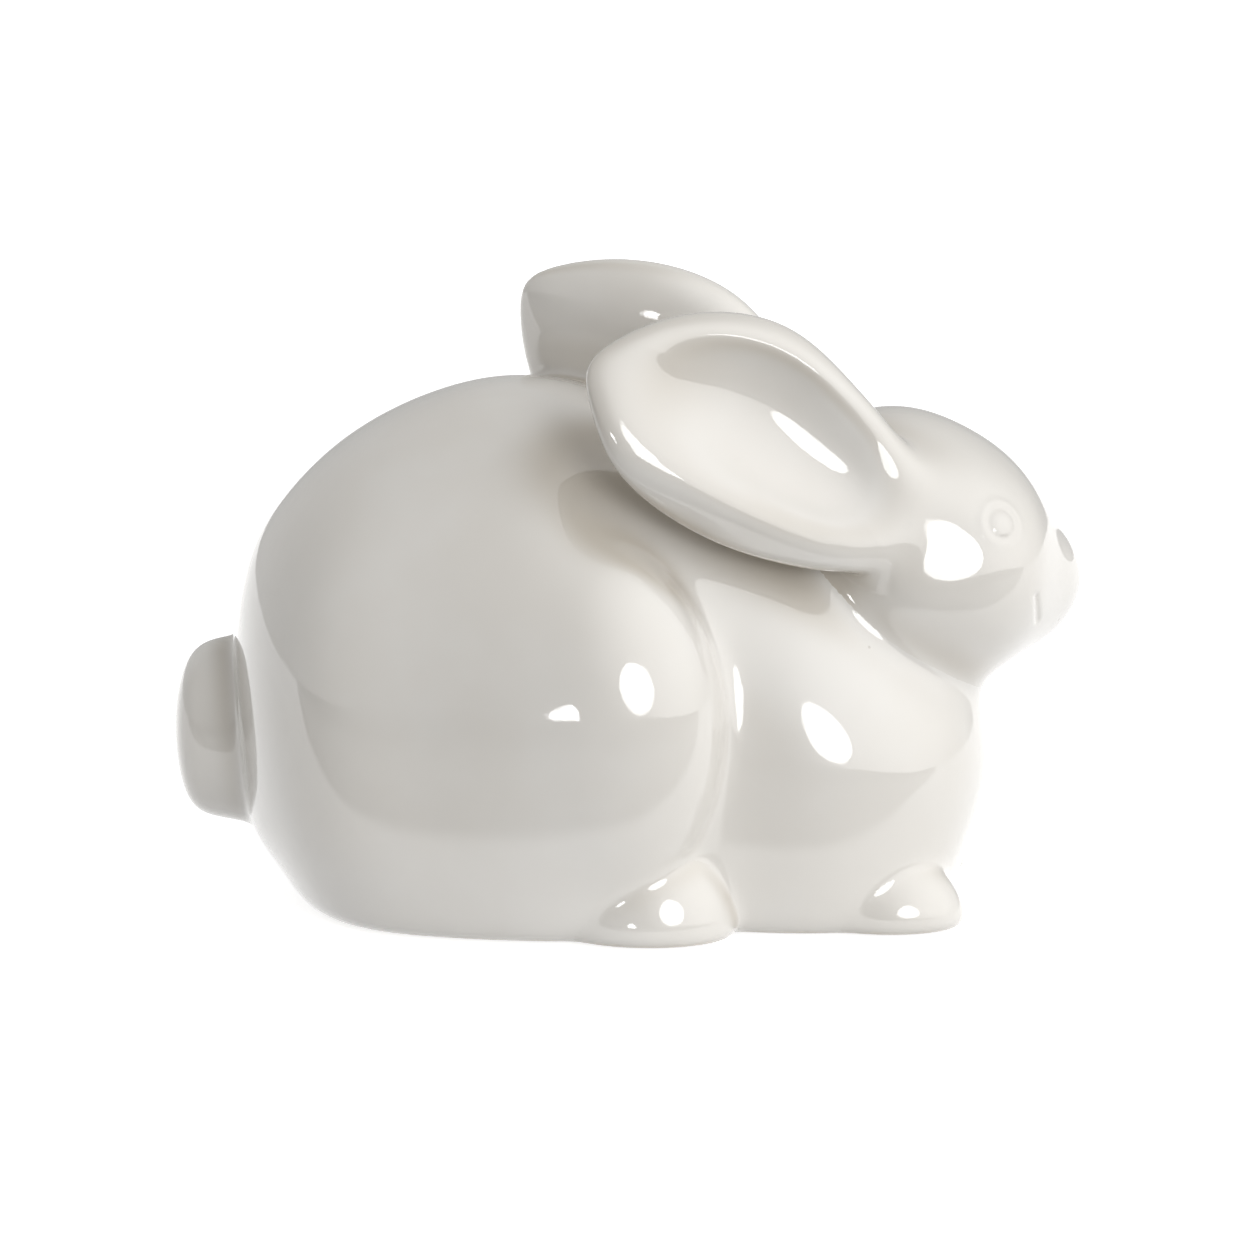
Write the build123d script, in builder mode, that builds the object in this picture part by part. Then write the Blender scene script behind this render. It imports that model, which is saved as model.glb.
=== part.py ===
"""Crouching rabbit ornament in glazed ceramic: castings joined with slip, ears laid back."""
import os
from math import cos, pi

from build123d import *

# Torso casting, with rump and chest
body_length = 100.3
body_width = 65.0
back_height = 69.8
wall = 3.5
floor_thickness = 4.0
drain_diameter = 14.0
vent_diameter = 9.0
overrun = 5.0

# Thighs, one on each side of the rump
thigh_length = 46.0
thigh_width = 31.0
thigh_height = 53.0
thigh_flare = 20.0

# Head casting, turned a little to the left
head_length = 37.6
head_width = 39.0
head_height = 37.3
head_turn = 15.0

# Muzzle, which stands out in front of the head
muzzle_length = 20.0
muzzle_width = 17.5
muzzle_height = 15.5
muzzle_reach = 3.4

# Eyes, low domes in the sides of the head
eye_length = 4.4
eye_height = 4.4
eye_relief = 0.1
eye_depth = 4.0

# Ears: leaves with a scooped hollow that faces outwards and up
ear_length = 52.0
ear_width = 33.0
ear_thickness = 13.0
right_ear_climb = 27.5
left_ear_climb = 37.0
right_ear_splay = 2.0
left_ear_splay = 11.0
left_ear_back = 5.4
left_ear_drop = 2.2
ear_roll = 20.0
hollow_length = 48.5
hollow_width = 25.0
hollow_depth = 8.0
hollow_tilt = 28.0

# Tail stub on the rump
tail_height = 27.0
tail_width = 21.0
tail_reach = 8.0
tail_root = 10.0

# Hind feet under the thighs
hind_foot_length = 24.0
hind_foot_width = 18.0
hind_foot_height = 14.0

# Forefeet under the chest
forefoot_length = 21.0
forefoot_width = 15.0
forefoot_height = 10.0

# Places as shares: along the body from the rump, out from its middle plane, up from its foot
rump_share = 0.5184
drain_share = 0.40
neck_share = 0.798
vent_share = 0.85
thigh_place_shares = (0.440, 0.62, 0.395)
hind_foot_place_shares = (0.558, 0.70)
forefoot_place_shares = (0.868, 0.48)
tail_bottom_share = 0.126
head_bottom_share = 0.4226

# Places as shares of the head: along it from the back, out from its middle plane, up from its bottom
neck_in_head_share = 0.218
ear_root_shares = (0.46, 0.78, 0.588)
eye_place_shares = (0.69, 0.87, 0.63)
muzzle_height_share = 0.345
hollow_rise_share = 0.10
hollow_level_share = 0.25

# Rounded sections from the rear to the front of a casting.
# Each row: top and bottom as shares of the height, half width as a share of half the width,
# height of the widest place as a share of the height.
torso_section_shares = (
    (0.510, 0.310, 0.13, 0.414),
    (0.630, 0.160, 0.33, 0.414),
    (0.768, 0.040, 0.68, 0.400),
    (0.878, -0.120, 0.92, 0.386),
    (0.960, -0.260, 1.00, 0.371),
    (1.000, -0.340, 1.02, 0.357),
    (0.964, -0.370, 0.98, 0.343),
    (0.857, -0.380, 0.79, 0.314),
    (0.743, -0.380, 0.77, 0.286),
    (0.614, -0.340, 0.70, 0.271),
    (0.500, -0.060, 0.54, 0.265),
    (0.400, 0.150, 0.30, 0.275),
    (0.325, 0.225, 0.12, 0.275),
)
head_section_shares = (
    (0.600, 0.440, 0.18, 0.520),
    (0.720, 0.335, 0.41, 0.520),
    (0.870, 0.200, 0.69, 0.500),
    (0.958, 0.080, 0.91, 0.480),
    (0.966, 0.013, 0.98, 0.450),
    (0.892, 0.000, 1.02, 0.430),
    (0.770, 0.094, 0.80, 0.420),
    (0.600, 0.200, 0.38, 0.400),
    (0.480, 0.290, 0.17, 0.390),
)
leaf_section_shares = (
    (0.60, 0.40, 0.15, 0.50),
    (0.75, 0.25, 0.36, 0.50),
    (0.92, 0.08, 0.62, 0.50),
    (1.00, 0.00, 0.83, 0.50),
    (1.00, 0.00, 1.00, 0.50),
    (0.94, 0.06, 0.91, 0.50),
    (0.80, 0.20, 0.62, 0.50),
    (0.64, 0.36, 0.27, 0.50),
    (0.57, 0.43, 0.12, 0.50),
)
tail_section_shares = (
    (0.70, 0.30, 0.34, 0.50),
    (0.84, 0.14, 0.64, 0.50),
    (0.95, 0.04, 0.87, 0.50),
    (0.99, 0.00, 0.97, 0.50),
    (1.00, 0.00, 1.00, 0.50),
)


def lofted_form(length, width, height, section_shares):
    """Loft of ovals along X from 0 to length, with closer sections at its two blunt ends."""
    steps = len(section_shares) - 1
    with BuildPart() as form:
        for step, row_shares in enumerate(section_shares):
            top_share, bottom_share, width_share, middle_share = row_shares
            x = length * (1 - cos(pi * step / steps)) / 2
            half_width = width_share * width / 2
            middle = middle_share * height
            rise = top_share * height - middle
            drop = middle - bottom_share * height
            with BuildSketch(Plane.YZ.offset(x)):
                with BuildLine():
                    for start_angle, radius in ((0, rise), (90, rise), (180, drop), (270, drop)):
                        EllipticalCenterArc((0, middle), half_width, radius, start_angle, arc_size=90)
                make_face()
        loft()
    return form.part


def lining_form(length, width, height, section_shares, inset):
    """The same loft, drawn in by the inset all round."""
    lining = lofted_form(length - 2 * inset, width - 2 * inset, height - 2 * inset, section_shares)
    return placed(lining, Plane((inset, 0, inset)))


def egg(length, width, height):
    """Ellipsoid about the origin."""
    with BuildPart() as form:
        Sphere(height / 2)
        scale(by=(length / height, width / height, 1))
    return form.part


def placed(form, place):
    """Copy of a form, moved to a plane."""
    with BuildPart(place) as moved:
        add(form)
    return moved.part


def mirrored(form):
    """Copy of a form on the other side of the middle plane."""
    with BuildPart() as other:
        mirror(form, about=Plane.XZ)
    return other.part


def trimmed(form, *neighbours):
    """Copy of a form, cut to sit on its neighbours and on the foot plane."""
    with BuildPart() as piece:
        add(form)
        for neighbour in neighbours:
            add(neighbour, mode=Mode.SUBTRACT)
        split(bisect_by=Plane.XY, keep=Keep.TOP)
    return piece.part


def along_body(share):
    """X of a place along the body."""
    return (share - rump_share) * body_length


# Torso with thighs: the outer form, which the other pieces sit on
torso_place = Plane((along_body(0), 0, 0))
torso = lofted_form(body_length, body_width, back_height, torso_section_shares)
torso_lining = lining_form(body_length, body_width, back_height, torso_section_shares, wall)
thigh_x = along_body(thigh_place_shares[0])
thigh_y = thigh_place_shares[1] * body_width / 2
thigh_z = thigh_place_shares[2] * back_height
thigh_forward = Vector(1, 0, 0).rotate(Axis.Z, -thigh_flare)
thigh_place = Plane((thigh_x, -thigh_y, thigh_z), x_dir=thigh_forward, z_dir=(0, 0, 1))
right_thigh = placed(egg(thigh_length, thigh_width, thigh_height), thigh_place)

with BuildPart() as body_form:
    add(placed(torso, torso_place))
    add(right_thigh)
    mirror(right_thigh, about=Plane.XZ)
    split(bisect_by=Plane.XY, keep=Keep.TOP)

# Body shell: hollow above its floor, with a drain hole in the foot and a vent into the head
with BuildPart() as cavity:
    add(placed(torso_lining, torso_place))
    split(bisect_by=Plane.XY.offset(floor_thickness), keep=Keep.TOP)

with BuildPart() as body_shell:
    add(body_form.part)
    add(cavity.part, mode=Mode.SUBTRACT)
    with BuildSketch() as drain:
        with Locations((along_body(drain_share), 0)):
            Circle(drain_diameter / 2)
    extrude(amount=floor_thickness + overrun, mode=Mode.SUBTRACT)
    with BuildSketch(Plane.XY.offset(floor_thickness + overrun)) as vent:
        with Locations((along_body(vent_share), 0)):
            Circle(vent_diameter / 2)
    extrude(amount=back_height, mode=Mode.SUBTRACT)

# Head in its own frame: X forward from the back of the skull, Z up from its bottom
skull = lofted_form(head_length, head_width, head_height, head_section_shares)
muzzle_x = head_length + muzzle_reach - muzzle_length / 2
muzzle_z = muzzle_height_share * head_height
muzzle = placed(egg(muzzle_length, muzzle_width, muzzle_height), Plane((muzzle_x, 0, muzzle_z)))
eye_x = eye_place_shares[0] * head_length
eye_y = eye_place_shares[1] * head_width / 2
eye_z = eye_place_shares[2] * head_height
right_eye = placed(
    egg(eye_length, eye_depth, eye_height), Plane((eye_x, eye_depth / 2 - eye_y - eye_relief, eye_z))
)

with BuildPart() as head_outside:
    add(skull)
    add(muzzle)
    add(right_eye)
    mirror(right_eye, about=Plane.XZ)

head_lining = lining_form(head_length, head_width, head_height, head_section_shares, wall)

# Ear in its own frame: X runs from root to tip, Z is the way the hollow faces
leaf = lofted_form(ear_length, ear_width, ear_thickness, leaf_section_shares)
hollow = lofted_form(hollow_length, hollow_width, 2 * hollow_depth, leaf_section_shares)
hollow_facing = Vector(0, 0, 1).rotate(Axis.X, -hollow_tilt)
hollow_middle = Vector(0, -hollow_rise_share * ear_width, ear_thickness - hollow_level_share * hollow_depth)
hollow_place = Plane(hollow_middle - hollow_facing * hollow_depth, x_dir=(1, 0, 0), z_dir=hollow_facing)

with BuildPart() as ear_leaf:
    add(leaf)
    add(placed(hollow, hollow_place), mode=Mode.SUBTRACT)

right_ear_root = Vector(
    ear_root_shares[0] * head_length,
    -ear_root_shares[1] * head_width / 2,
    ear_root_shares[2] * head_height,
)
left_ear_root = right_ear_root - Vector(left_ear_back, 0, left_ear_drop)


def ear_on_head(root, climb, splay):
    """Right ear in the head's frame, laid back from its root, lifted and splayed."""
    reach = Vector(-1, 0, 0).rotate(Axis.Y, climb).rotate(Axis.Z, splay)
    facing = Vector(0, -1, 0).rotate(Axis.Z, splay).rotate(Axis((0, 0, 0), reach), ear_roll)
    centred = placed(ear_leaf.part, Plane((0, 0, -ear_thickness / 2)))
    return placed(centred, Plane(root, x_dir=reach, z_dir=facing))


# Head and ears turned about the neck and seated on the body
forward = Vector(1, 0, 0).rotate(Axis.Z, head_turn)
head_back = Vector(along_body(neck_share), 0, head_bottom_share * back_height)
head_back -= forward * (neck_in_head_share * head_length)
head_place = Plane(head_back, x_dir=forward, z_dir=(0, 0, 1))
head_form = placed(head_outside.part, head_place)

with BuildPart() as head_shell:
    add(head_form)
    add(placed(head_lining, head_place), mode=Mode.SUBTRACT)
    add(body_form.part, mode=Mode.SUBTRACT)

right_ear_on_head = ear_on_head(right_ear_root, right_ear_climb, right_ear_splay)
left_ear_on_head = mirrored(ear_on_head(left_ear_root, left_ear_climb, left_ear_splay))
right_ear_form = placed(right_ear_on_head, head_place)
left_ear_form = placed(left_ear_on_head, head_place)
right_ear = trimmed(right_ear_form, head_form, body_form.part)
left_ear = trimmed(left_ear_form, head_form, body_form.part)

# Tail and feet
tail_form = lofted_form(tail_reach + tail_root, tail_width, tail_height, tail_section_shares)
tail_place = Plane((along_body(0) - tail_reach, 0, tail_bottom_share * back_height))
tail = trimmed(placed(tail_form, tail_place), body_form.part)

hind_foot_x = along_body(hind_foot_place_shares[0])
hind_foot_y = hind_foot_place_shares[1] * body_width / 2
hind_foot_form = egg(hind_foot_length, hind_foot_width, 2 * hind_foot_height)
right_hind_foot = trimmed(placed(hind_foot_form, Plane((hind_foot_x, -hind_foot_y, 0))), body_form.part)

forefoot_x = along_body(forefoot_place_shares[0])
forefoot_y = forefoot_place_shares[1] * body_width / 2
forefoot_form = egg(forefoot_length, forefoot_width, 2 * forefoot_height)
right_forefoot = trimmed(placed(forefoot_form, Plane((forefoot_x, -forefoot_y, 0))), body_form.part)

pieces = {
    "body_shell": body_shell.part,
    "head_shell": head_shell.part,
    "right_ear": right_ear,
    "left_ear": left_ear,
    "tail": tail,
    "right_hind_foot": right_hind_foot,
    "left_hind_foot": mirrored(right_hind_foot),
    "right_forefoot": right_forefoot,
    "left_forefoot": mirrored(right_forefoot),
}
os.makedirs("parts", exist_ok=True)
for name, piece in pieces.items():
    piece.label = name
    export_step(piece, f"parts/{name}.step")
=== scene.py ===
"""Looks of a crouching rabbit ornament: soft clay forms under a glossy, warm white glaze."""
import math

import bmesh
import bpy
import numpy as np
from mathutils import Matrix, Vector


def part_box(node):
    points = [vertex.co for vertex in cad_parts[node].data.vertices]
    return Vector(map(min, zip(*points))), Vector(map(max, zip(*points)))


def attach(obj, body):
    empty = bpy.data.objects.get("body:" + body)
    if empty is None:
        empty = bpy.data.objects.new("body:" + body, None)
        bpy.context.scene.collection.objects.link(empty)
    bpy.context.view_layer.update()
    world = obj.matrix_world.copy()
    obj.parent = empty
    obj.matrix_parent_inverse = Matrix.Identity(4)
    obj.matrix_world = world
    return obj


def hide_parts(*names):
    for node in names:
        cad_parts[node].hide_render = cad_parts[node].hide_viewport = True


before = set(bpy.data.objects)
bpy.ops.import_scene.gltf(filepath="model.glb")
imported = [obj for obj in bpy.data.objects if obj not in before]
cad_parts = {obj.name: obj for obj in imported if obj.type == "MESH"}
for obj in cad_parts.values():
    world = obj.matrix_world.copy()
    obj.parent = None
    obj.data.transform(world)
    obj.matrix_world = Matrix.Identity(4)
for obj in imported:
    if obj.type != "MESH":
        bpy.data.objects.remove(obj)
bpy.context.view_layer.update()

# Sizes of the castings. The unit is one drawn millimetre, taken from the body's own box.
body_low, body_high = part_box("body_shell")
back_height = body_high.z - body_low.z
body_length = body_high.x - body_low.x
drawn_back_height = 69.8
unit = back_height / drawn_back_height
body_width = 65.0 * unit
rump_x = body_low.x

thigh_length, thigh_width, thigh_height = 46.0 * unit, 31.0 * unit, 53.0 * unit
thigh_flare = math.radians(20)
thigh_shares = (0.440, 0.62, 0.395)
melt_start_share, melt_full_share = -0.2, 0.3

head_length, head_width, head_height = 37.6 * unit, 39.0 * unit, 37.3 * unit
head_turn = math.radians(15)
neck_share, head_bottom_share, neck_in_head_share = 0.798, 0.4226, 0.218
muzzle_length, muzzle_width, muzzle_height = 20.0 * unit, 17.5 * unit, 15.5 * unit
muzzle_reach = 3.4 * unit
muzzle_height_share = 0.345

# Flat of the cheek, just in front of the ear
cheek_facing = np.array((-0.102, -0.970, 0.222))
cheek_flat, cheek_samples = 0.6 * unit, 73
temple_depth = 0.8 * unit

# Eye: a low ball in a groove, under a lid that is higher above than below
eye_shares = (0.69, 0.87, 0.63)
ball_radius, ball_height = 2.0 * unit, 0.28 * unit
groove_radius, groove_spread, groove_depth = 2.2 * unit, 0.5 * unit, 0.12 * unit
lid_radius, lid_spread, lid_height = 2.9 * unit, 0.7 * unit, 0.18 * unit
lid_even_share, lid_arch_share, lid_middle = 0.65, 0.35, 0.5 * unit

# Mouth corners, as X and Z in the head's frame
mouth_start, mouth_end = np.array((31.0, 13.4)) * unit, np.array((31.9, 9.8)) * unit
mouth_width, mouth_depth = 0.45 * unit, 0.30 * unit

# Ears, right and left, with a hollow that is tilted in the leaf and a flat along its lower edge
ear_length, ear_width, ear_thickness = 52.0 * unit, 33.0 * unit, 13.0 * unit
ear_climbs = (math.radians(27.5), math.radians(37))
ear_splays = (math.radians(2), math.radians(11))
ear_roll = math.radians(20)
ear_trim = 3.0 * unit
ear_root_shares = (0.46, 0.78, 0.588)
ear_shifts = ((0, 0, 0), (-5.4 * unit, 0, -2.2 * unit))
hollow_length, hollow_width, hollow_depth = 49.0 * unit, 24.0 * unit, 8.5 * unit
hollow_start_share, hollow_rise_share, hollow_level_share = 0.07, 0.01, -0.20
hollow_tilt = math.radians(-20)
rim_change, rim_middle_share = 2.5, 0.4
under_turn, under_share = math.radians(58), 0.70

tail_height, tail_width = 27.0 * unit, 21.0 * unit
tail_reach, tail_root = 8.0 * unit, 10.0 * unit
tail_bottom_share = 0.126

hind_foot_length, hind_foot_width, hind_foot_height = 24.0 * unit, 18.0 * unit, 14.0 * unit
hind_foot_shares = (0.558, 0.70)
forefoot_length, forefoot_width, forefoot_height = 21.0 * unit, 15.0 * unit, 10.0 * unit
forefoot_shares = (0.868, 0.48)

drain_share, drain_radius, drain_depth = 0.383, 7.0 * unit, 14.0 * unit

# Softness of the joints and edges that slip and glaze round over
thigh_soft, rump_soft, drain_soft, base_soft = 3.2 * unit, 11.0 * unit, 0.8 * unit, 4.0 * unit
muzzle_soft, cheek_soft, temple_soft = 9.0 * unit, 1.5 * unit, 6.0 * unit
rim_soft, lower_rim_soft, under_soft = 4.0 * unit, 11.0 * unit, 4.5 * unit
ear_soft, neck_soft, back_soft = 6.5 * unit, 8.0 * unit, 5.0 * unit
tail_soft, foot_soft = 2.0 * unit, 2.5 * unit
sink = 0.1 / unit
far_away = 16 * unit

# Valleys that darken, partly with glaze run into them and partly with painted shade: reach of the
# look, room when open and when deep, and the upward lean at which a steep side starts to hold glaze
# and holds all of it
valley_reach, open_share, deep_share = 9 * unit, 0.96, 0.30
steep_share, level_share = 0.40, 0.70
draining_pieces = ("body_shell", "left_ear")
other_ear = {"right_ear": "left_ear", "left_ear": "right_ear"}

# Size of the quads of each casting, and how its mesh settles on the skin
body_quad, head_quad, ear_quad = 0.75 * unit, 0.36 * unit, 0.42 * unit
tail_quad, foot_quad = 0.5 * unit, 0.42 * unit
sphere_segments, sphere_rings = 64, 40
settle_steps, settle_limit = 8, 0.8 * unit
even_turns, even_steps, even_limit = 2, 3, 0.4 * unit
probe, least_slope, tiny = 0.01 * unit, 0.2, 1e-9

# Sections from the rear to the front of a form: top and bottom as shares of the height,
# half width as a share of half the width, height of the widest place as a share of the height
torso_shares = (
    (0.414, 0.414, 0.00, 0.414),
    (0.630, 0.160, 0.33, 0.414),
    (0.768, 0.040, 0.68, 0.400),
    (0.878, -0.120, 0.92, 0.386),
    (0.960, -0.260, 1.00, 0.371),
    (1.000, -0.340, 1.02, 0.357),
    (0.964, -0.370, 0.98, 0.343),
    (0.857, -0.380, 0.79, 0.314),
    (0.743, -0.380, 0.77, 0.286),
    (0.614, -0.340, 0.70, 0.271),
    (0.500, -0.060, 0.54, 0.265),
    (0.400, 0.150, 0.30, 0.275),
    (0.275, 0.275, 0.00, 0.275),
)
head_shares = (
    (0.520, 0.520, 0.00, 0.520),
    (0.720, 0.335, 0.41, 0.520),
    (0.870, 0.200, 0.69, 0.500),
    (0.958, 0.080, 0.94, 0.480),
    (0.966, 0.013, 1.02, 0.450),
    (0.892, 0.000, 0.98, 0.430),
    (0.770, 0.094, 0.78, 0.420),
    (0.600, 0.200, 0.38, 0.400),
    (0.390, 0.390, 0.00, 0.390),
)
leaf_shares = (
    (0.50, 0.50, 0.00, 0.50),
    (0.75, 0.25, 0.36, 0.50),
    (0.92, 0.08, 0.62, 0.50),
    (1.00, 0.00, 0.83, 0.50),
    (1.00, 0.00, 1.00, 0.50),
    (0.94, 0.06, 0.91, 0.50),
    (0.80, 0.20, 0.62, 0.50),
    (0.64, 0.36, 0.27, 0.50),
    (0.50, 0.50, 0.00, 0.50),
)
tail_shares = (
    (0.50, 0.50, 0.00, 0.50),
    (0.84, 0.14, 0.64, 0.50),
    (0.95, 0.04, 0.87, 0.50),
    (0.99, 0.00, 0.97, 0.50),
    (1.00, 0.00, 1.00, 0.50),
    (0.95, 0.04, 0.87, 0.50),
    (0.84, 0.14, 0.64, 0.50),
    (0.50, 0.50, 0.00, 0.50),
)


def axes(forward, up):
    """Rows of a right-handed frame from its X and Z directions."""
    forward = np.array(forward, float) / np.linalg.norm(forward)
    side = np.cross(up, forward)
    side /= np.linalg.norm(side)
    return np.array((forward, side, np.cross(forward, side)))


def turned(vector, axis, angle):
    """A direction turned about an axis."""
    return np.array(Matrix.Rotation(angle, 3, Vector(axis)) @ Vector(vector))


def smooth_table(rows, samples=1200):
    """Natural cubic curve through rows that stand one step apart."""
    rows = np.array(rows, float)
    count = len(rows)
    system = np.eye(count)
    bends = np.zeros_like(rows)
    for row in range(1, count - 1):
        system[row, row - 1:row + 2] = (1, 4, 1)
        bends[row] = 6 * (rows[row - 1] - 2 * rows[row] + rows[row + 1])
    bends = np.linalg.solve(system, bends)
    place = np.linspace(0, count - 1, samples)
    row = np.minimum(place.astype(int), count - 2)
    after = (place - row)[:, None]
    before = 1 - after
    curve = (before ** 3 - before) * bends[row] + (after ** 3 - after) * bends[row + 1]
    return before * rows[row] + after * rows[row + 1] + curve / 6


def smooth_step(value, low, high):
    """Value brought from low..high to 0..1, with soft ends."""
    share = np.clip((value - low) / (high - low), 0, 1)
    return share * share * (3 - 2 * share)


def merged(first, second, soft):
    """Soft union of two distances."""
    near = np.maximum(soft - np.abs(first - second), 0) / soft
    return np.minimum(first, second) - near ** 3 * soft / 6


def cut(first, second, soft):
    """Soft cut of the second form out of the first."""
    return -merged(-first, second, soft)


class Egg:
    """Ellipsoid in its own frame."""

    def __init__(self, origin, rows, length, width, height):
        self.origin = np.array(origin, float)
        self.rows = rows
        self.radii = np.array((length, width, height)) / 2

    def distance(self, points):
        """About how far points lie outside the form."""
        local = (points - self.origin) @ self.rows.T / self.radii
        near = np.linalg.norm(local, axis=1)
        slope = np.linalg.norm(local / self.radii, axis=1)
        return near * (near - 1) / np.maximum(slope, tiny)

    def point(self, unit_point):
        """Point of the form for a point of the unit ball."""
        return self.origin + (np.array(unit_point) * self.radii) @ self.rows


class Loft:
    """Form with rounded sections along its own X axis, which starts at its origin."""

    search_turns = 3

    def __init__(self, origin, rows, length, width, height, section_shares):
        self.origin = np.array(origin, float)
        self.rows = rows
        self.half_length = length / 2
        shares = smooth_table(section_shares)
        self.last = len(shares) - 1
        middle = shares[:, 3] * height
        rise = shares[:, 0] * height - middle
        drop = middle - shares[:, 1] * height
        half = shares[:, 2] * width / 2
        ring = np.sin(np.linspace(0, math.pi, len(shares)))
        ring[0] = ring[-1] = 1
        self.table = np.stack((half / ring, rise / ring, drop / ring, middle))
        self.table[:, 0] = self.table[:, 1]
        self.table[:, -1] = self.table[:, -2]

    def read(self, place):
        """Radii and height of the section at a place from 0 to 1."""
        spot = np.clip(place, 0, 1) * self.last
        row = np.minimum(spot.astype(int), self.last - 1)
        after = spot - row
        return self.table[:, row] * (1 - after) + self.table[:, row + 1] * after

    def distance(self, points):
        """About how far points lie outside the form."""
        x, y, z = ((points - self.origin) @ self.rows.T).T
        x = x / self.half_length - 1
        place = np.arccos(np.clip(-x, -1, 1)) / math.pi
        for turn in range(self.search_turns):
            half, rise, drop, middle = self.read(place)
            height = z - middle
            tall = np.where(height > 0, rise, drop)
            ring = np.hypot(y / half, height / tall)
            place = np.arctan2(ring, -x) / math.pi
        near = np.hypot(x, ring)
        slopes = (x / self.half_length, y / half ** 2, height / tall ** 2)
        slope = np.sqrt(slopes[0] ** 2 + slopes[1] ** 2 + slopes[2] ** 2)
        return near * (near - 1) / np.maximum(slope, tiny)

    def point(self, unit_point):
        """Point of the form for a point of the unit ball."""
        x, y, z = unit_point
        place = math.acos(max(-1.0, min(1.0, -x))) / math.pi
        half, rise, drop, middle = self.read(np.array([place]))[:, 0]
        tall = rise if z > 0 else drop
        local = (self.half_length * (1 + x), half * y, middle + tall * z)
        return self.origin + np.array(local) @ self.rows


def along_body(share):
    """X of a place along the body."""
    return rump_x + share * body_length


# Forms of the body, the tail and the feet
level = np.eye(3)
torso = Loft((rump_x, 0, 0), level, body_length, body_width, back_height, torso_shares)
tail_origin = (rump_x - tail_reach, 0, tail_bottom_share * back_height)
tail_stub = Loft(
    tail_origin, level, 2 * (tail_reach + tail_root), tail_width, tail_height, tail_shares
)
drain_origin = (along_body(drain_share), 0, 0)
drain = Egg(drain_origin, level, 2 * drain_radius, 2 * drain_radius, 2 * drain_depth)

thighs, hind_feet, forefeet = [], [], []
for side in (-1, 1):
    outward = side * body_width / 2
    thigh_rows = axes(turned((1, 0, 0), (0, 0, 1), side * thigh_flare), (0, 0, 1))
    thigh_origin = (
        along_body(thigh_shares[0]), thigh_shares[1] * outward, thigh_shares[2] * back_height
    )
    thighs.append(Egg(thigh_origin, thigh_rows, thigh_length, thigh_width, thigh_height))
    hind_origin = (along_body(hind_foot_shares[0]), hind_foot_shares[1] * outward, 0)
    hind_feet.append(
        Egg(hind_origin, level, hind_foot_length, hind_foot_width, 2 * hind_foot_height)
    )
    fore_origin = (along_body(forefoot_shares[0]), forefoot_shares[1] * outward, 0)
    forefeet.append(Egg(fore_origin, level, forefoot_length, forefoot_width, 2 * forefoot_height))

# Head frame: X forward from the back of the skull, Z up from its bottom
head_forward = turned((1, 0, 0), (0, 0, 1), head_turn)
head_rows = axes(head_forward, (0, 0, 1))
head_origin = np.array((along_body(neck_share), 0, head_bottom_share * back_height))
head_origin = head_origin - head_forward * neck_in_head_share * head_length
skull = Loft((0, 0, 0), level, head_length, head_width, head_height, head_shares)
muzzle_x = head_length + muzzle_reach - muzzle_length / 2
muzzle_origin = (muzzle_x, 0, muzzle_height_share * head_height)
muzzle = Egg(muzzle_origin, level, muzzle_length, muzzle_width, muzzle_height)
right_head_sizes = np.array((head_length, -head_width / 2, head_height))
eye = np.array(eye_shares) * right_head_sizes

cheek_points = np.array([
    skull.point((
        math.cos(turn), -math.sin(turn) * math.cos(lift), math.sin(turn) * math.sin(lift)
    ))
    for turn in np.linspace(0, math.pi, cheek_samples)
    for lift in np.linspace(0, 2 * math.pi, cheek_samples)
])
cheek_reach = np.max(cheek_points @ cheek_facing) - cheek_flat

# Ears in the head frame, both drawn as a right ear: X from root to tip, Z as the hollow faces
ear_root = np.array(ear_root_shares) * right_head_sizes
hollow_local = np.array((
    hollow_start_share * ear_length,
    -hollow_rise_share * ear_width,
    ear_thickness / 2 - hollow_level_share * hollow_depth,
))
under_facing = np.array((0.0, math.sin(under_turn), math.cos(under_turn)))
under_reach = under_facing @ (0.0, under_share * ear_width / 2, ear_thickness / 2)
leaves, hollows = [], []
for ear_climb, ear_splay, ear_shift in zip(ear_climbs, ear_splays, ear_shifts):
    ear_reach = turned(turned((-1, 0, 0), (0, 1, 0), ear_climb), (0, 0, 1), ear_splay)
    ear_facing = turned(turned((0, -1, 0), (0, 0, 1), ear_splay), ear_reach, ear_roll)
    ear_rows = axes(ear_reach, ear_facing)
    leaf_root = ear_root + np.array(ear_shift)
    leaf_origin = leaf_root + ear_reach * ear_trim - ear_rows[2] * ear_thickness / 2
    leaves.append(
        Loft(leaf_origin, ear_rows, ear_length - ear_trim, ear_width, ear_thickness, leaf_shares)
    )
    hollow_rows = axes(ear_reach, turned(ear_facing, ear_reach, -hollow_tilt))
    hollow_origin = leaf_root + hollow_local @ ear_rows - hollow_rows[2] * hollow_depth
    hollows.append(
        Loft(hollow_origin, hollow_rows, hollow_length, hollow_width, 2 * hollow_depth, leaf_shares)
    )


def in_head(points):
    """Points of the scene in the head's frame."""
    return (points - head_origin) @ head_rows.T


def from_head(points):
    """Points of the head's frame in the scene."""
    return head_origin + np.asarray(points) @ head_rows


def body_form(points):
    """Torso and thighs, which melt into the rump and stand off from the chest; drain hole."""
    behind = (along_body(thigh_shares[0]) - points[:, 0]) / thigh_length
    melting = smooth_step(behind, melt_start_share, melt_full_share)
    soft = thigh_soft + (rump_soft - thigh_soft) * melting
    distance = torso.distance(points)
    for thigh in thighs:
        distance = merged(distance, thigh.distance(points), soft)
    return cut(distance, drain.distance(points), drain_soft)


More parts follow.
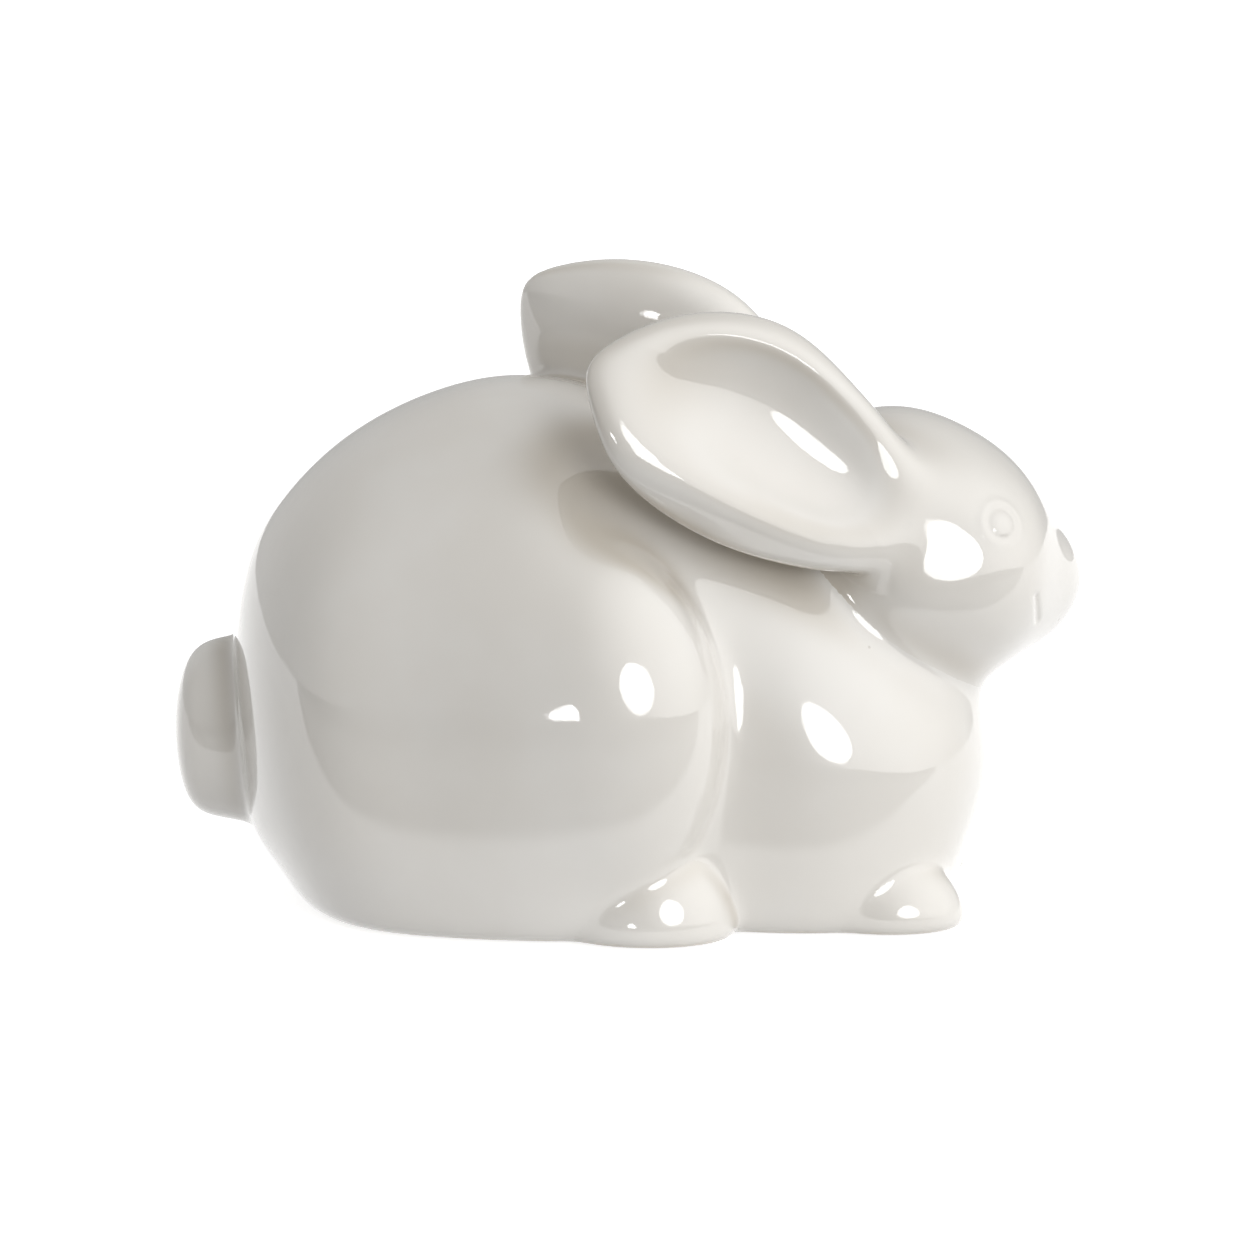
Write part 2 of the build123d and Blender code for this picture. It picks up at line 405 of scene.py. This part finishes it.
def eye_relief(distance, local):
    """Low eyeball under an arched lid."""
    away = np.linalg.norm(local - eye, axis=1)
    above = (local - eye)[:, 2] / np.maximum(away, lid_middle)
    lid = np.exp(-((away - lid_radius) / lid_spread) ** 2)
    lid = lid * (lid_even_share + lid_arch_share * above)
    groove = np.exp(-((away - groove_radius) / groove_spread) ** 2)
    ball = np.maximum(1 - (away / ball_radius) ** 2, 0)
    return distance - lid_height * lid + groove_depth * groove - ball_height * ball


def mouth_line(distance, local):
    """Short groove at each corner of the mouth."""
    run = mouth_end - mouth_start
    side = local[:, (0, 2)] - mouth_start
    along = np.clip(side @ run / (run @ run), 0, 1)
    away = np.linalg.norm(side - along[:, None] * run, axis=1)
    return distance + mouth_depth * np.exp(-(away / mouth_width) ** 2)


def head_form(points):
    """Skull and muzzle, with flat cheeks and ears that open out into the temples."""
    local = in_head(points)
    distance = merged(skull.distance(local), muzzle.distance(local), muzzle_soft)
    one_side = np.stack((local[:, 0], -np.abs(local[:, 1]), local[:, 2]), axis=1)
    distance = cut(distance, cheek_reach - one_side @ cheek_facing, cheek_soft)
    for hollow, side in zip(hollows, (1, -1)):
        scoop = hollow.distance(local * np.array((1, side, 1)))
        distance = cut(distance, scoop + temple_depth, temple_soft)
    return mouth_line(eye_relief(distance, one_side), one_side)


def ear_form(points, ear):
    """Leaf with its hollow, whose rim grows softer below and at the root."""
    local = in_head(points) * np.array((1, (1, -1)[ear], 1))
    leaf = leaves[ear]
    along, across, out = ((local - leaf.origin) @ leaf.rows.T).T
    below = np.clip(across / ear_width * rim_change + rim_middle_share, 0, 1)
    at_root = np.clip(1 - along / ear_length * rim_change, 0, 1)
    soft = rim_soft + (lower_rim_soft - rim_soft) * np.maximum(below, at_root)
    distance = cut(leaf.distance(local), hollows[ear].distance(local), soft)
    under = across * under_facing[1] + out * under_facing[2] - under_reach
    return cut(distance, -under, under_soft)


piece_forms = {
    "body_shell": body_form,
    "head_shell": head_form,
    "right_ear": lambda points: ear_form(points, 0),
    "left_ear": lambda points: ear_form(points, 1),
    "tail": tail_stub.distance,
    "right_hind_foot": hind_feet[0].distance,
    "left_hind_foot": hind_feet[1].distance,
    "right_forefoot": forefeet[0].distance,
    "left_forefoot": forefeet[1].distance,
}
piece_boxes = {}
for node in piece_forms:
    node_low, node_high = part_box(node)
    room = np.full(3, far_away)
    piece_boxes[node] = (np.array(node_low) - room, np.array(node_high) + room)


def whole_form(distances):
    """All castings in one soft skin."""
    head = distances["head_shell"]
    ears = np.minimum(distances["right_ear"], distances["left_ear"])
    body = merged(distances["body_shell"], distances["tail"], tail_soft)
    for name in ("right_hind_foot", "left_hind_foot", "right_forefoot", "left_forefoot"):
        body = merged(body, distances[name], foot_soft)
    joined = (
        merged(head, ears, ear_soft), merged(body, head, neck_soft), merged(body, ears, back_soft)
    )
    return np.min(joined, axis=0)


def near_distances(points):
    """Distance to each casting, worked out only for the points that are near it."""
    distances = {}
    for name, form in piece_forms.items():
        low, high = piece_boxes[name]
        near = np.all((points > low) & (points < high), axis=1)
        distances[name] = np.full(len(points), far_away)
        if near.any():
            distances[name][near] = np.minimum(form(points[near]), far_away)
    return distances


def pooled_glaze_and_painted_shade(name, points, normals):
    """How dark a valley is, from 0 on open surfaces to 1: partly glaze run into it, partly painted
    shade.
    """
    distances = near_distances(points + normals * valley_reach)
    if name in other_ear:
        distances[other_ear[name]][:] = far_away
    room = whole_form(distances) / valley_reach
    pool_and_shade_depth = smooth_step(room, open_share, deep_share)
    if name in draining_pieces:
        pool_and_shade_depth = pool_and_shade_depth * smooth_step(normals[:, 2], steep_share, level_share)
    return pool_and_shade_depth


def piece_field(name, points):
    """Common skin where the piece shows; past its joints it sinks under its neighbours."""
    distances = near_distances(points)
    skin = whole_form(distances)
    others = np.min([value for key, value in distances.items() if key != name], axis=0)
    past = np.maximum(distances[name] - others, 0)
    return cut(skin + sink * past ** 2, points[:, 2], base_soft)


def project(points, name, steps, limit):
    """Moves points onto the piece's surface."""
    for step in range(steps):
        value = piece_field(name, points)
        slope = np.empty_like(points)
        for axis in range(3):
            shifted = points.copy()
            shifted[:, axis] += probe
            slope[:, axis] = (piece_field(name, shifted) - value) / probe
        length = np.maximum(np.linalg.norm(slope, axis=1), least_slope)
        move = np.clip(value / length, -limit, limit) / length
        points = points - slope * move[:, None]
    return points


def relaxed(points, edges):
    """Points moved half way to the middle of their neighbours."""
    total = np.zeros_like(points)
    count = np.bincount(edges.ravel(), minlength=len(points))[:, None]
    for axis in range(3):
        total[:, axis] = np.bincount(edges[:, 0], points[edges[:, 1], axis], len(points))
        total[:, axis] += np.bincount(edges[:, 1], points[edges[:, 0], axis], len(points))
    return (points + total / np.maximum(count, 1)) / 2


def add_rough_form(bm, form, place):
    """Sphere drawn out to a form."""
    made = bmesh.ops.create_uvsphere(
        bm, u_segments=sphere_segments, v_segments=sphere_rings, radius=1,
        matrix=Matrix.Rotation(math.pi / 2, 4, "Y"),
    )
    for vert in made["verts"]:
        vert.co = place(form.point(vert.co))


def rough_object(name, placed_forms, stands=True):
    """Forms in one mesh, cut off at the table where they stand on it."""
    bm = bmesh.new()
    for form, place in placed_forms:
        add_rough_form(bm, form, place)
    if stands:
        everything = bm.verts[:] + bm.edges[:] + bm.faces[:]
        bmesh.ops.bisect_plane(
            bm, geom=everything, plane_co=(0, 0, 0), plane_no=(0, 0, -1), clear_outer=True
        )
        bmesh.ops.holes_fill(bm, edges=[edge for edge in bm.edges if edge.is_boundary])
    bmesh.ops.recalc_face_normals(bm, faces=bm.faces)
    mesh = bpy.data.meshes.new(name)
    bm.to_mesh(mesh)
    bm.free()
    rough = bpy.data.objects.new(name, mesh)
    bpy.context.scene.collection.objects.link(rough)
    return rough


def add_remesh(start, name, quad):
    """Joins what overlaps and makes even quads of it."""
    remesh = start.modifiers.new(name, "REMESH")
    remesh.mode = "VOXEL"
    remesh.voxel_size = quad
    remesh.use_smooth_shade = True


def start_mesh(name, placed_forms, scooped_forms, quad):
    """Closed mesh of even quads near the piece's surface."""
    start = rough_object(name + "_start", placed_forms)
    roughs = [start]
    if scooped_forms:
        if len(placed_forms) > 1:
            # The scoop loses overlapping forms at random unless they are joined first
            add_remesh(start, "joined", quad)
        scoop = rough_object(name + "_scoop", scooped_forms, stands=False)
        roughs.append(scoop)
        scooped = start.modifiers.new("scooped", "BOOLEAN")
        scooped.operation = "DIFFERENCE"
        scooped.solver = "EXACT"
        scooped.object = scoop
    add_remesh(start, "even_quads", quad)
    bpy.context.view_layer.update()
    shaped = start.evaluated_get(bpy.context.evaluated_depsgraph_get())
    even = bpy.data.meshes.new_from_object(shaped)
    for rough in roughs:
        bpy.data.meshes.remove(rough.data)
    even.name = name
    return even


def settle_on_skin(mesh, name):
    """Moves a start mesh onto the piece's surface and notes where its colour darkens with pooled
    glaze and painted shade.
    """
    flat = np.empty(len(mesh.vertices) * 3, np.float32)
    mesh.vertices.foreach_get("co", flat)
    points = flat.reshape(-1, 3).astype(float)
    ends = np.empty(len(mesh.edges) * 2, np.int32)
    mesh.edges.foreach_get("vertices", ends)
    edges = ends.reshape(-1, 2)
    points = project(points, name, settle_steps, settle_limit)
    for turn in range(even_turns):
        evened = relaxed(relaxed(points, edges), edges)
        points = project(evened, name, even_steps, even_limit)
    mesh.vertices.foreach_set("co", points.astype(np.float32).ravel())
    mesh.update()
    mesh.shade_smooth()
    mesh.vertices.foreach_get("normal", flat)
    pool_and_shade_depth = mesh.attributes.new("pooled_glaze_and_painted_shade", "FLOAT", "POINT")
    pooled_and_shaded = pooled_glaze_and_painted_shade(name, points, flat.reshape(-1, 3))
    pool_and_shade_depth.data.foreach_set("value", pooled_and_shaded.astype(np.float32))


def make_piece(name, placed_forms, quad, material, scooped_forms=()):
    """One casting: even quads settled on the soft skin that it shares with its neighbours."""
    mesh = start_mesh(name, placed_forms, scooped_forms, quad)
    settle_on_skin(mesh, name)
    piece = bpy.data.objects.new(name + "_glazed", mesh)
    bpy.context.scene.collection.objects.link(piece)
    mesh.materials.clear()
    mesh.materials.append(material)
    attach(piece, "root")
    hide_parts(name)


def add_noise(tree, place, scale, detail):
    """Noise on the object's own coordinates."""
    noise = tree.nodes.new("ShaderNodeTexNoise")
    noise.inputs["Scale"].default_value = scale
    noise.inputs["Detail"].default_value = detail
    tree.links.new(place.outputs["Object"], noise.inputs["Vector"])
    return noise.outputs["Fac"]


def add_math(tree, operation, first, second, third=0.0):
    """Math node; each of its sides is a socket or a number."""
    node = tree.nodes.new("ShaderNodeMath")
    node.operation = operation
    for socket, value in zip(node.inputs, (first, second, third)):
        if isinstance(value, (int, float)):
            socket.default_value = value
        else:
            tree.links.new(value, socket)
    return node.outputs["Value"]


def add_range(tree, value, low, high):
    """Value brought from low..high to 0..1, with soft ends."""
    node = tree.nodes.new("ShaderNodeMapRange")
    node.interpolation_type = "SMOOTHSTEP"
    node.inputs["From Min"].default_value = low
    node.inputs["From Max"].default_value = high
    tree.links.new(value, node.inputs["Value"])
    return node.outputs["Result"]


def add_mix(tree, share, first, second):
    """Mixed colour; each side is a socket or a colour."""
    colour_a, colour_b, colour_result = 6, 7, 2
    node = tree.nodes.new("ShaderNodeMix")
    node.data_type = "RGBA"
    tree.links.new(share, node.inputs["Factor"])
    for socket, value in ((node.inputs[colour_a], first), (node.inputs[colour_b], second)):
        if isinstance(value, tuple):
            socket.default_value = (*value, 1)
        else:
            tree.links.new(value, socket)
    return node.outputs[colour_result]


def glaze_pits(tree, place):
    """Mask of fine pits, in a few of the cells."""
    cells_per_metre, pit_edge, pit_middle, empty_share = 120, 0.045, 0.02, 0.8
    cells = tree.nodes.new("ShaderNodeTexVoronoi")
    cells.inputs["Scale"].default_value = cells_per_metre
    tree.links.new(place.outputs["Object"], cells.inputs["Vector"])
    dot = add_range(tree, cells.outputs["Distance"], pit_edge, pit_middle)
    chosen = tree.nodes.new("ShaderNodeSeparateColor")
    tree.links.new(cells.outputs["Color"], chosen.inputs["Color"])
    rare = add_math(tree, "GREATER_THAN", chosen.outputs["Red"], empty_share)
    return add_math(tree, "MULTIPLY", dot, rare)


def wiped_foot(tree, place):
    """Mask of the bare clay at the foot, with a ragged upper edge."""
    rag_scale, rag_detail, rag_height, bare_height = 220, 2, 0.0008, 0.0004
    height = tree.nodes.new("ShaderNodeSeparateXYZ")
    tree.links.new(place.outputs["Object"], height.inputs["Vector"])
    rag = add_noise(tree, place, rag_scale, rag_detail)
    ragged = add_math(tree, "MULTIPLY", rag, rag_height)
    edge = add_math(tree, "SUBTRACT", height.outputs["Z"], ragged)
    return add_range(tree, edge, bare_height, 0.0)


def glaze_relief(tree, place, pits):
    """Normal of a surface with slow waves, fine orange peel and pits."""
    wave_scale, wave_detail, peel_scale, peel_detail = 120, 1.5, 900, 1
    peel_share, pit_share, strength, distance = 0.05, 0.3, 0.15, 0.0008
    wave = add_noise(tree, place, wave_scale, wave_detail)
    peel = add_noise(tree, place, peel_scale, peel_detail)
    relief = add_math(tree, "ADD", wave, add_math(tree, "MULTIPLY", peel, peel_share))
    relief = add_math(tree, "SUBTRACT", relief, add_math(tree, "MULTIPLY", pits, pit_share))
    bump = tree.nodes.new("ShaderNodeBump")
    bump.inputs["Strength"].default_value = strength
    bump.inputs["Distance"].default_value = distance
    tree.links.new(relief, bump.inputs["Height"])
    return bump.outputs["Normal"]


def glaze_material():
    """Warm white glaze: glossy, uneven, with fine pits, darker in valleys with pooled glaze and
    painted shade, wiped off the foot.
    """
    # The third colour is for the valleys: pooled glaze and painted shade
    white, cream, pooled_and_shaded = (0.815, 0.798, 0.766), (0.785, 0.762, 0.722), (0.60, 0.555, 0.485)
    pit, bare_clay = (0.33, 0.28, 0.22), (0.74, 0.69, 0.61)
    cloud_scale, cloud_detail, cloud_low, cloud_high = 40, 3, 0.35, 0.65
    pool_and_shade_share, pit_share = 0.9, 0.5
    glaze_roughness, bare_roughness = 0.05, 0.6
    material = bpy.data.materials.new("warm_white_glaze")
    material.use_nodes = True
    tree = material.node_tree
    shader = tree.nodes["Principled BSDF"]
    shader.inputs["IOR"].default_value = 1.52
    shader.inputs["Coat Weight"].default_value = 1.0
    shader.inputs["Coat Roughness"].default_value = 0.02

    place = tree.nodes.new("ShaderNodeTexCoord")
    cloud = add_range(
        tree, add_noise(tree, place, cloud_scale, cloud_detail), cloud_low, cloud_high
    )
    colour = add_mix(tree, cloud, white, cream)
    pool_and_shade_depth = tree.nodes.new("ShaderNodeAttribute")
    pool_and_shade_depth.attribute_name = "pooled_glaze_and_painted_shade"
    # Valleys take the darker colour: partly glaze pooled there, partly painted shade
    pool_and_shade_mix = add_math(tree, "MULTIPLY", pool_and_shade_depth.outputs["Fac"], pool_and_shade_share)
    colour = add_mix(tree, pool_and_shade_mix, colour, pooled_and_shaded)
    pits = glaze_pits(tree, place)
    colour = add_mix(tree, add_math(tree, "MULTIPLY", pits, pit_share), colour, pit)
    foot = wiped_foot(tree, place)
    colour = add_mix(tree, foot, colour, bare_clay)
    tree.links.new(colour, shader.inputs["Base Color"])
    gloss = add_math(tree, "MULTIPLY_ADD", foot, bare_roughness, glaze_roughness)
    tree.links.new(gloss, shader.inputs["Roughness"])
    tree.links.new(glaze_relief(tree, place, pits), shader.inputs["Normal"])
    return material


def same(point):
    """Place of a form that is drawn where it stands."""
    return point


def head_side(side):
    """Place of a right-hand form of the head, on either side of it."""
    return lambda point: from_head(np.asarray(point) * np.array((1, -side, 1)))


def make_rabbit():
    """The nine castings."""
    glaze = glaze_material()
    body_forms = [(form, same) for form in (torso, *thighs)]
    make_piece("body_shell", body_forms, body_quad, glaze, [(drain, same)])
    make_piece("head_shell", [(skull, from_head), (muzzle, from_head)], head_quad, glaze)
    for name, side, leaf, hollow in zip(("right_ear", "left_ear"), (-1, 1), leaves, hollows):
        place = head_side(side)
        make_piece(name, [(leaf, place)], ear_quad, glaze, [(hollow, place)])
    make_piece("tail", [(tail_stub, same)], tail_quad, glaze)
    for name, foot in zip(("right_hind_foot", "left_hind_foot"), hind_feet):
        make_piece(name, [(foot, same)], foot_quad, glaze)
    for name, foot in zip(("right_forefoot", "left_forefoot"), forefeet):
        make_piece(name, [(foot, same)], foot_quad, glaze)


def add_camera():
    """Long lens, a little above the figure and a little to its front."""
    azimuth, rise, distance = math.radians(3), math.radians(11.5), 0.9
    pixels_per_metre, frame_pixels, film_width = 7550, 1239, 36
    figure_middle, aim_left, aim_down = Vector((0, 0, 0.04)), 0.00073, 0.00258
    away = Vector((
        math.sin(azimuth) * math.cos(rise), -math.cos(azimuth) * math.cos(rise), math.sin(rise)
    ))
    turn = (-away).to_track_quat("-Z", "Y")
    right = turn @ Vector((1, 0, 0))
    up = turn @ Vector((0, 1, 0))
    target = figure_middle - right * aim_left - up * aim_down
    data = bpy.data.cameras.new("camera")
    data.sensor_width = film_width
    data.lens = pixels_per_metre * distance / frame_pixels * film_width
    camera = bpy.data.objects.new("camera", data)
    camera.location = target + away * distance
    camera.rotation_euler = turn.to_euler()
    bpy.context.scene.collection.objects.link(camera)
    bpy.context.scene.camera = camera


def add_softbox(name, place, target, width, height, power):
    """Oval studio light that faces a point."""
    data = bpy.data.lights.new(name, "AREA")
    data.shape = "ELLIPSE"
    data.size, data.size_y = width, height
    data.energy = power
    lamp = bpy.data.objects.new(name, data)
    lamp.location = place
    facing = Vector(target) - Vector(place)
    lamp.rotation_euler = facing.to_track_quat("-Z", "Y").to_euler()
    bpy.context.scene.collection.objects.link(lamp)


def table_material():
    """White table: a lit sheet under the figure, which the glaze mirrors, and dimmer in front."""
    pale, dim = (0.62, 0.62, 0.62), (0.15, 0.15, 0.15)
    dim_start, dim_end, sheet_start, sheet_end = -0.04, -0.25, -0.058, -0.048
    seen_near, seen_gain, sheet_glow = 0.8, 0.2, 0.8
    material = bpy.data.materials.new("white_table")
    material.use_nodes = True
    tree = material.node_tree
    shader = tree.nodes["Principled BSDF"]
    shader.inputs["Roughness"].default_value = 0.9
    shader.inputs["Specular IOR Level"].default_value = 0
    shader.inputs["Emission Color"].default_value = (1, 1, 1, 1)
    place = tree.nodes.new("ShaderNodeTexCoord")
    spot = tree.nodes.new("ShaderNodeSeparateXYZ")
    tree.links.new(place.outputs["Object"], spot.inputs["Vector"])
    far = add_range(tree, spot.outputs["Y"], dim_start, dim_end)
    sheet = add_range(tree, spot.outputs["Y"], sheet_start, sheet_end)
    tree.links.new(add_mix(tree, far, pale, dim), shader.inputs["Base Color"])

    ray = tree.nodes.new("ShaderNodeLightPath")
    seen = add_math(tree, "MULTIPLY_ADD", far, seen_gain, seen_near)
    seen = add_math(tree, "MULTIPLY", ray.outputs["Is Camera Ray"], seen)
    through = add_math(
        tree, "MAXIMUM", ray.outputs["Is Glossy Ray"], ray.outputs["Is Transmission Ray"]
    )
    reflected = add_math(tree, "MULTIPLY", through, add_math(tree, "MULTIPLY", sheet, sheet_glow))
    glow = add_math(tree, "ADD", seen, reflected)
    tree.links.new(glow, shader.inputs["Emission Strength"])
    return material


def add_floor():
    """Plain white table that runs back out of sight."""
    half_size = 6
    bm = bmesh.new()
    bmesh.ops.create_grid(bm, x_segments=1, y_segments=1, size=half_size)
    mesh = bpy.data.meshes.new("floor")
    bm.to_mesh(mesh)
    bm.free()
    floor = bpy.data.objects.new("floor", mesh)
    bpy.context.scene.collection.objects.link(floor)
    mesh.materials.append(table_material())


def add_world():
    """Pale room: bright to the right, light behind and to the left, dim in front."""
    front_strength, warm_white = 0.08, (1, 0.99, 0.972, 1)
    # Each glow: its direction, the cosine at which it starts, and its strength
    glows = (
        ((1.0, -0.3, 0.2), 0.2, 0.80),
        ((-1.0, 0.0, 0.1), 0.2, 0.50),
        ((0.0, 1.0, 0.1), 0.0, 0.42),
        ((0.0, 0.0, 1.0), 0.2, 0.10),
        ((0.7, -0.45, 0.55), 0.5, 0.90),
    )
    world = bpy.data.worlds.new("studio")
    world.use_nodes = True
    tree = world.node_tree
    background = tree.nodes["Background"]
    background.inputs["Color"].default_value = warm_white
    place = tree.nodes.new("ShaderNodeTexCoord")
    strength = front_strength
    for direction, start, glow in glows:
        facing = tree.nodes.new("ShaderNodeVectorMath")
        facing.operation = "DOT_PRODUCT"
        facing.inputs[1].default_value = Vector(direction).normalized()
        tree.links.new(place.outputs["Generated"], facing.inputs[0])
        share = add_range(tree, facing.outputs["Value"], start, 1.0)
        strength = add_math(tree, "ADD", add_math(tree, "MULTIPLY", share, glow), strength)
    tree.links.new(strength, background.inputs["Strength"])
    bpy.context.scene.world = world


def add_lamps():
    """One large softbox to the right of the camera and a small one to its left."""
    figure_middle = (0, 0, 0.04)
    add_softbox("right_softbox", (0.50, -1.00, 0.27), figure_middle, 0.50, 0.44, 2.6)
    add_softbox("left_softbox", (-0.24, -1.00, 0.02), figure_middle, 0.15, 0.15, 0.5)


make_rabbit()
add_camera()
add_floor()
add_world()
add_lamps()
bpy.context.scene.view_settings.view_transform = "Standard"
